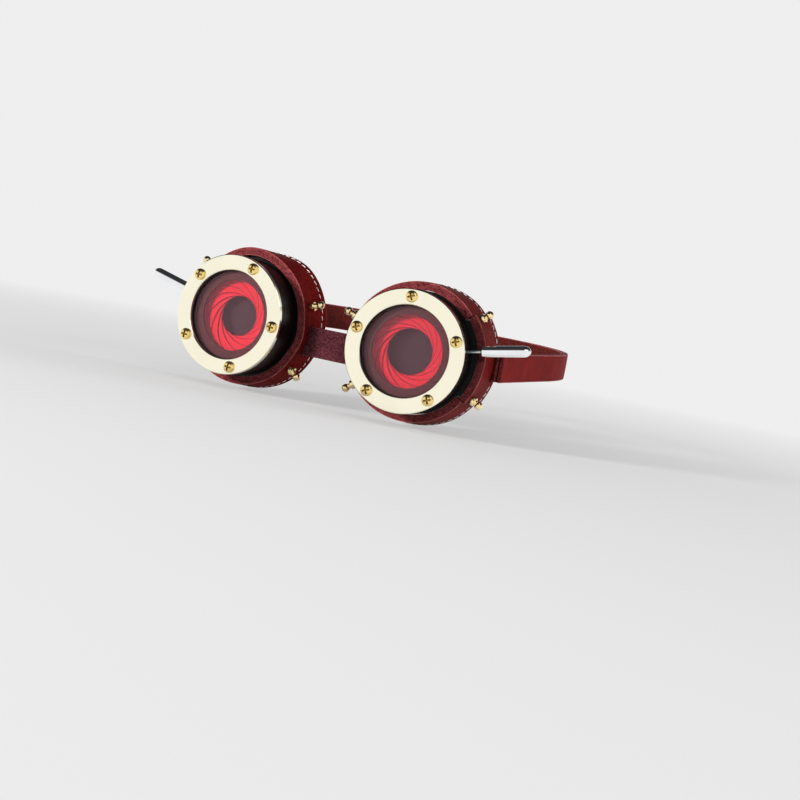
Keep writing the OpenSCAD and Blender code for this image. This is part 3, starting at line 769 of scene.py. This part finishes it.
flat_y = LOOP_BACK + OUTER_IN + HALF_T
over = FOLD_OUT + 0.15
right = loop_points(90, OUTER_IN + HALF_T) + [
    Vector((8.6, flat_y)), Vector((BAR_X + 2.8, BAR_Y + over + HALF_T)),
    Vector((BAR_X - 0.8, BAR_Y + over + HALF_T)), Vector((BAR_X - 7.8, LOOP_BACK + TAIL_IN + HALF_T)),
    Vector((TAIL_TIP, LOOP_BACK + TAIL_IN + HALF_T))]
right = relax(resample(right, 0.8), 3)
strap_r = strap_mesh("strap_outer_right", right, STRAP_W, STRAP_T, STRAP_SET,
                     ["strap_right"], TILT, tip=True, bow=0.12)
cut = [rod_cutter(TILT @ Matrix.Translation((x, 0, 0)) @ Matrix.Rotation(math.radians(90), 4, "Z"),
                  HOLE_R, LOOP_BACK - 2, LOOP_BACK + 13, RAW) for x in STRAP_HOLES]
cut.append(box_cutter(TILT, (BAR_X + 2.4, LOOP_BACK + OUTER_OUT + 0.8, -1.6),
                      (BAR_X + 11.2, LOOP_BACK + 20, 1.6), RAW))
carve(strap_r, cut)

fold = [Vector((BAR_X + (FOLD_IN + HALF_T) * sin(a), BAR_Y - (FOLD_IN + HALF_T) * cos(a)))
        for a in range(0, 181, 12)]
left = flip(loop_points(90, OUTER_IN + HALF_T), -1) + fold + [
    Vector((BAR_X - 6, LOOP_BACK + RETURN_IN + HALF_T)),
    Vector((BAR_X - FOLD_BACK_L, LOOP_BACK + RETURN_IN + HALF_T))]
left = relax(resample(left, 0.6), 2)
left.reverse()
strap_l = strap_mesh("strap_outer_left", left, STRAP_W, STRAP_T, STRAP_SET,
                     ["strap_left"], TILT, bow=0.12)
carve(strap_l, [box_cutter(TILT, (BAR_X - 5, LOOP_BACK + OUTER_IN - 1, -1.7),
                           (BAR_X + 5, LOOP_BACK + 13, 1.7), RAW)])

# Nose bridge: bows a little forward and folds slightly where it nears the right cup
reach = SPACING / 2 - 1.8 - (LEATHER_R - 2 * LAYER)
bridge_y = plane_y(BRIDGE_DEPTH, 13.3) + 0.2
bridge = [Vector((-reach + 2 * reach * i / 40, 0)) for i in range(41)]
for p in bridge:
    u = p.x / reach
    p.y = bridge_y - 0.5 * (1 - u * u) - 0.25 * math.exp(-((p.x - 6.5) / 1.6) ** 2)
strap_mesh("bridge", bridge, BRIDGE_W, BRIDGE_T, BRIDGE_SET, ["bridge_strap"],
           Matrix.Scale(MM, 4) @ Matrix.Translation((0, 0, -BRIDGE_DROP)), bow=0.1, edge=0.45)


def keeper():
    """Closed loop of thin leather round the strap, its folded end and the tail."""
    x, w, wall, room = BAR_X - 14, 7.0, 1.3, 0.2
    low, high = LOOP_BACK + OUTER_IN - room, LOOP_BACK + TAIL_IN + STRAP_T + room
    half = STRAP_W / 2 + room
    path = []
    for n, corner in enumerate(((high, half), (high, -half), (low, -half), (low, half))):
        for k in range(6):
            a = 90 - 90 * n - 90 * k / 5
            path.append((Vector(corner), Vector((cos(a), sin(a)))))
    rings, marks = [], []
    for c, out in path:
        ring = []
        profile = [(0, -w / 2 + 0.3, RAW), (0.3, -w / 2, RAW), (wall - 0.3, -w / 2, WORN_SHEEN),
                   (wall, -w / 2 + 0.3, GRAIN), (wall, w / 2 - 0.3, WORN_SHEEN), (wall - 0.3, w / 2, RAW),
                   (0.3, w / 2, RAW), (0, w / 2 - 0.3, INNER)]
        for u, s, _ in profile:
            p = c + out * u
            ring.append(Vector((x + s, p.x, p.y)))
        rings.append(ring)
        marks = [tag for _, _, tag in profile]
    verts, faces, indices = loft(rings, marks, closed=True)
    return piece("keeper_loop", verts, faces, BRIDGE_SET, indices,
                 ["strap_keeper"], "keeper", TILT)


keeper()


# Iris blades

PIVOT_R, HALF_W, SPAN, BLADE_END, BLADE_FRONT = 22.3, 4.0, 140.0, 8.0, 9.05
BLADE_T, BLADE_RISE, DRIVE_RATIO, BLADE_COUNT = 0.1, 3.2, 0.496, 12
# Angle from the lever to the place before the first pivot, when the iris is wide open
PIVOT_LEAD = 13
# The drive pin is a little thinner than the source's 0.6, so that it stays clear of its slot's end
PIVOT_PIN_R, PIVOT_PIN_FRONT, DRIVE_PIN_R, DRIVE_PIN_BACK = 0.7, -7.85, 0.56, -13.6


def rise_at(a):
    return BLADE_RISE * (a / (SPAN + 7) + smooth((a - 20) / 105)) / 2


def half_width(a):
    over = max(0.0, (-2 - a) / 7.6, (a - SPAN + 12) / 21)
    return HALF_W * math.sqrt(max(0.0, 1 - over ** 2))


def turn_for(aperture):
    return 2 * math.degrees(math.asin((PIVOT_R - HALF_W - aperture) / (2 * PIVOT_R)))


def blade(side_name, sign, k):
    """One blade at rest: a thin rising band whose dark inner edge strip is painted shade between
    overlapping blades, a pivot pin and a drive pin.
    """
    rest = turn_for(REST_APERTURE[side_name])
    angle = LEVER_ANGLES[side_name] + rest / DRIVE_RATIO + PIVOT_LEAD + 360 // BLADE_COUNT * k
    out = Matrix.Translation((PIVOT_R, 0, 0))
    place = (
        eye_matrix(sign) @ Matrix.Rotation(math.radians(angle), 4, "Z") @ out
        @ Matrix.Rotation(math.radians(-rest), 4, "Z") @ out.inverted()
    )
    rings = []
    # Width of the dark strip on the front face along the inner edge: painted shade.
    edge = 0.3
    steps = 78
    for i in range(steps + 1):
        a = -BLADE_END + (SPAN + 2 * BLADE_END) * i / steps
        w = half_width(a)
        front, back = -BLADE_FRONT - rise_at(a), -BLADE_FRONT - rise_at(a) - BLADE_T
        ring = [(PIVOT_R - w, front), (PIVOT_R - w + edge, front), (PIVOT_R + w, front),
                (PIVOT_R + w, back), (PIVOT_R - w, back)]
        rings.append([Vector((r * cos(-a), r * sin(-a), z)) for r, z in ring])
    verts, faces, indices = loft(rings, [1, 0, 1, 1, 1], 1)
    for x, y, low, high, r in (
        (PIVOT_R, 0, -BLADE_FRONT - BLADE_T, PIVOT_PIN_FRONT, PIVOT_PIN_R),
        (PIVOT_R * cos(-SPAN), PIVOT_R * sin(-SPAN), DRIVE_PIN_BACK, -BLADE_FRONT - rise_at(SPAN),
         DRIVE_PIN_R),
    ):
        rings = [[Vector((x + (r - s) * cos(b), y + (r - s) * sin(b), z)) for b in range(0, 360, 15)]
                 for z, s in ((low, 0.1), (low + 0.1, 0), (high - 0.1, 0), (high, 0.1))]
        v, f, _ = loft(rings, [1] * 24, 1)
        faces += [tuple(n + len(verts) for n in face) for face in f]
        indices += [1] * len(f)
        verts += v
    return piece(f"blade_{side_name}_{k}_sheet", verts, faces, ["blade", "blade_edge_shade"], indices,
                 [f"iris_blade_{side_name}_{k}"], f"blade_{side_name}_{k}", place)


for side_name, sign in SIDES:
    for k in range(1, BLADE_COUNT + 1):
        blade(side_name, sign, k)


# Materials of the source's own pieces

def dress(node, key):
    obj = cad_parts[node]
    obj.data.materials.clear()
    obj.data.materials.append(M[key])


for side_name, sign in SIDES:
    for node, key in (
        ("bezel", "bezel_" + side_name), ("lens", "glass"), ("housing", "tube"),
        ("iris_front_plate", "plate"), ("iris_drive_ring", "ring"), ("snap_rings", "steel"),
        ("smoked_lens", "smoked"), ("lever_stem", "steel"), ("lever_knob", "chrome"),
        ("ball_studs", "stud"),
    ):
        dress(f"{node}_{side_name}", key)
dress("lens_gaskets", "rubber")
for node in ("buckle_frame", "buckle_prong"):
    dress(node, "stud")


# Bezel screws

SCREW_ANGLES = {"right": 92.5, "left": 68.2}


def screw_pieces():
    """Ten pan-head screws with a cross recess whose walls are in dark brass, painted shade in the recess.
    """
    head_r, head_h, shank_r, shank_l = 2.9, 1.8, 1.45, 6.6
    outline = [(0.9, -shank_l), (shank_r, -shank_l + 0.5), (shank_r, 0.02), (head_r - 0.12, 0.02),
               (head_r, 0.14), (head_r, 0.62)]
    outline += [(head_r * cos(t), 0.62 + (head_h - 0.62) * sin(t)) for t in range(12, 90, 11)]
    for side_name, sign in SIDES:
        for i in range(5):
            around = Matrix.Rotation(math.radians(SCREW_ANGLES[side_name] + 72 * i), 4, "Z")
            place = (eye_matrix(sign) @ around @ Matrix.Translation((SCREW_CIRCLE_R, 0, 0))
                     @ Matrix.Rotation(math.radians(17 * i + 20), 4, "Z"))
            rings = [[Vector((r * cos(b), r * sin(b), z)) for b in range(0, 360, 10)] for r, z in outline]
            verts, faces, indices = loft(rings, [0] * 36, 0)
            obj = piece(f"screw_{side_name}_{i + 1}", verts, faces, ["screw", "recess_shade"], indices,
                        matrix=place)
            for wedge in cross_wedges(place, head_h):
                carve(obj, [wedge])
    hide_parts("bezel_screws")


def cross_wedges(place, head_h):
    """Two crossed tapering wedges that sink into a screw's head."""
    cutters = []
    for turn in (0, 90):
        m = place @ Matrix.Rotation(math.radians(turn), 4, "Z")
        low, high = head_h - 1.2, head_h + 1
        verts = [m @ Vector((x * sx, y * sy, z)) for z, x, y in ((low, 1.25, 0.36), (high, 2.9, 0.6))
                 for sx, sy in ((-1, -1), (1, -1), (1, 1), (-1, 1))]
        faces = [(3, 2, 1, 0), (4, 5, 6, 7)] + [(k, (k + 1) % 4, 4 + (k + 1) % 4, 4 + k) for k in range(4)]
        # Index 1: the cut walls take the dark brass of painted recess shade.
        cutters.append((verts, faces, 1))
    return cutters


screw_pieces()


# Floor, light and camera

BACKDROP = (0.86, 0.86, 0.86, 1)
# What metal shows of the floor and of the low part of the sky, and of the sky overhead
MIRRORED, MIRRORED_TOP = (0.98, 0.98, 0.98, 1), (0.035, 0.035, 0.04, 1)
EVEN_LIGHT = 0.25


def stage_floor():
    """Pale floor that keeps the part's shadow, melts into the backdrop and is bright in metal."""
    n = Nodes("pale floor", specular_ior_level=0.1, roughness=0.9)
    n.colour(n.ramp(n.noise(3, 2), ((0.3, (0.80, 0.80, 0.80)), (0.7, (0.83, 0.83, 0.83)))))
    glow = n.add("ShaderNodeEmission")
    glow.inputs["Color"].default_value = BACKDROP
    length = n.add("ShaderNodeVectorMath", operation="LENGTH")
    n.link(n.coords, length.inputs[0])
    far = n.span(length.outputs["Value"], 0.45, 1.0, 0.1, 0.9)
    path = n.add("ShaderNodeLightPath")
    share = n.add("ShaderNodeMath", operation="MULTIPLY")
    n.link(far, share.inputs[0]).link(path.outputs["Is Camera Ray"], share.inputs[1])
    mixed = n.add("ShaderNodeMixShader")
    n.link(share.outputs[0], mixed.inputs[0]).link(n.shader.outputs[0], mixed.inputs[1])
    n.link(glow.outputs[0], mixed.inputs[2])
    bright = n.add("ShaderNodeEmission")
    bright.inputs["Color"].default_value = MIRRORED
    indirect = n.add("ShaderNodeMath", operation="MAXIMUM")
    n.link(path.outputs["Is Glossy Ray"], indirect.inputs[0])
    n.link(path.outputs["Is Transmission Ray"], indirect.inputs[1])
    away = n.add("ShaderNodeMath", operation="MULTIPLY")
    n.link(indirect.outputs[0], away.inputs[0])
    n.link(n.span(length.outputs["Value"], 0.0, 1.0, 0.06, 0.12), away.inputs[1])
    last = n.add("ShaderNodeMixShader")
    n.link(away.outputs[0], last.inputs[0]).link(mixed.outputs[0], last.inputs[1])
    n.link(bright.outputs[0], last.inputs[2])
    n.link(last.outputs[0], n.tree.nodes["Material Output"].inputs["Surface"])
    mesh = bpy.data.meshes.new("floor")
    size, z = 12.0, cad_box[0][2] - 0.0005
    corners = [(-size, -size, z), (size, -size, z), (size, size, z), (-size, size, z)]
    mesh.from_pydata(corners, [], [(0, 1, 2, 3)])
    mesh.materials.append(n.material)
    obj = bpy.data.objects.new("floor", mesh)
    bpy.context.scene.collection.objects.link(obj)


def world_light():
    """Soft even light; what metal and glass reflect is pale low down and dark overhead."""
    world = bpy.data.worlds.new("studio")
    world.use_nodes = True
    bpy.context.scene.world = world
    tree = world.node_tree
    tree.nodes.clear()
    add = tree.nodes.new
    output = add("ShaderNodeOutputWorld")
    even, seen, gloss = (add("ShaderNodeBackground") for _ in range(3))
    even.inputs[0].default_value, even.inputs[1].default_value = (1, 1, 1, 1), EVEN_LIGHT
    seen.inputs[0].default_value, seen.inputs[1].default_value = BACKDROP, 1.0
    coords, split = add("ShaderNodeTexCoord"), add("ShaderNodeSeparateXYZ")
    ramp = add("ShaderNodeValToRGB")
    tree.links.new(coords.outputs["Generated"], split.inputs[0])
    tree.links.new(split.outputs["Z"], ramp.inputs["Fac"])
    for element, height, colour in zip(ramp.color_ramp.elements, (0.28, 0.5), (MIRRORED, MIRRORED_TOP)):
        element.position, element.color = height, colour
    tree.links.new(ramp.outputs["Color"], gloss.inputs[0])
    path = add("ShaderNodeLightPath")
    plain = add("ShaderNodeMath")
    plain.operation = "MAXIMUM"
    tree.links.new(path.outputs["Is Camera Ray"], plain.inputs[0])
    tree.links.new(path.outputs["Is Transmission Ray"], plain.inputs[1])
    first, second = add("ShaderNodeMixShader"), add("ShaderNodeMixShader")
    tree.links.new(plain.outputs[0], first.inputs[0])
    tree.links.new(even.outputs[0], first.inputs[1])
    tree.links.new(seen.outputs[0], first.inputs[2])
    tree.links.new(path.outputs["Is Glossy Ray"], second.inputs[0])
    tree.links.new(first.outputs[0], second.inputs[1])
    tree.links.new(gloss.outputs[0], second.inputs[2])
    tree.links.new(second.outputs[0], output.inputs[0])


def lamp(name, azimuth, elevation, distance, size, watts, mirrored=True):
    """A soft box that looks at the goggles; azimuth 0 is in front of them, 90 on the viewer's right.
    One that is not mirrored lights them without showing in the metal."""
    at = Vector((sin(azimuth) * cos(elevation), -cos(azimuth) * cos(elevation), sin(elevation))) * distance
    data = bpy.data.lights.new(name, "AREA")
    data.shape, data.size, data.size_y, data.energy = "RECTANGLE", size[0], size[1], watts
    obj = bpy.data.objects.new(name, data)
    obj.location = at
    obj.rotation_euler = (-at).to_track_quat("-Z", "Y").to_euler()
    obj.visible_glossy = mirrored
    bpy.context.scene.collection.objects.link(obj)


# The photograph's camera: focal length and frame in pixels, distance in mm, angles in degrees
FOCAL_PX, FRAME_PX, DISTANCE = 1557.0, 800, 760.47
AZIMUTH, ELEVATION, ROLL, AIM_X, AIM_Y = 24.58, 1.97, -10.96, -3.17, -2.49


def place_camera():
    """The photograph's camera, fitted to the bezels, windows and iris holes."""
    def turn(a, axis):
        return Matrix.Rotation(math.radians(a), 3, axis)
    base = turn(AZIMUTH, "Z") @ turn(-ELEVATION, "X")
    axes = base @ turn(ROLL, "Y") @ turn(AIM_X, "Z") @ turn(AIM_Y, "X")
    right, forward, up = axes.col
    place = Matrix((right, up, -forward)).transposed().to_4x4()
    place.translation = Vector((0, FRONT_Y * MM, 0)) + base @ Vector((0, -DISTANCE * MM, 0))
    data = bpy.data.cameras.new("camera")
    data.sensor_width, data.lens = 36.0, FOCAL_PX * 36.0 / FRAME_PX
    data.clip_start, data.clip_end = 0.01, 50
    camera = bpy.data.objects.new("camera", data)
    camera.matrix_world = place
    bpy.context.scene.collection.objects.link(camera)
    bpy.context.scene.camera = camera


stage_floor()
world_light()
lamp("key", -30, 12, 1.3, (0.2, 0.2), 20.5, False)
lamp("fill", 40, 35, 1.6, (0.9, 0.7), 2.5)
lamp("side", 116, 10, 1.2, (0.4, 0.6), 7.8, False)
place_camera()
bpy.context.scene.view_settings.view_transform = "Standard"
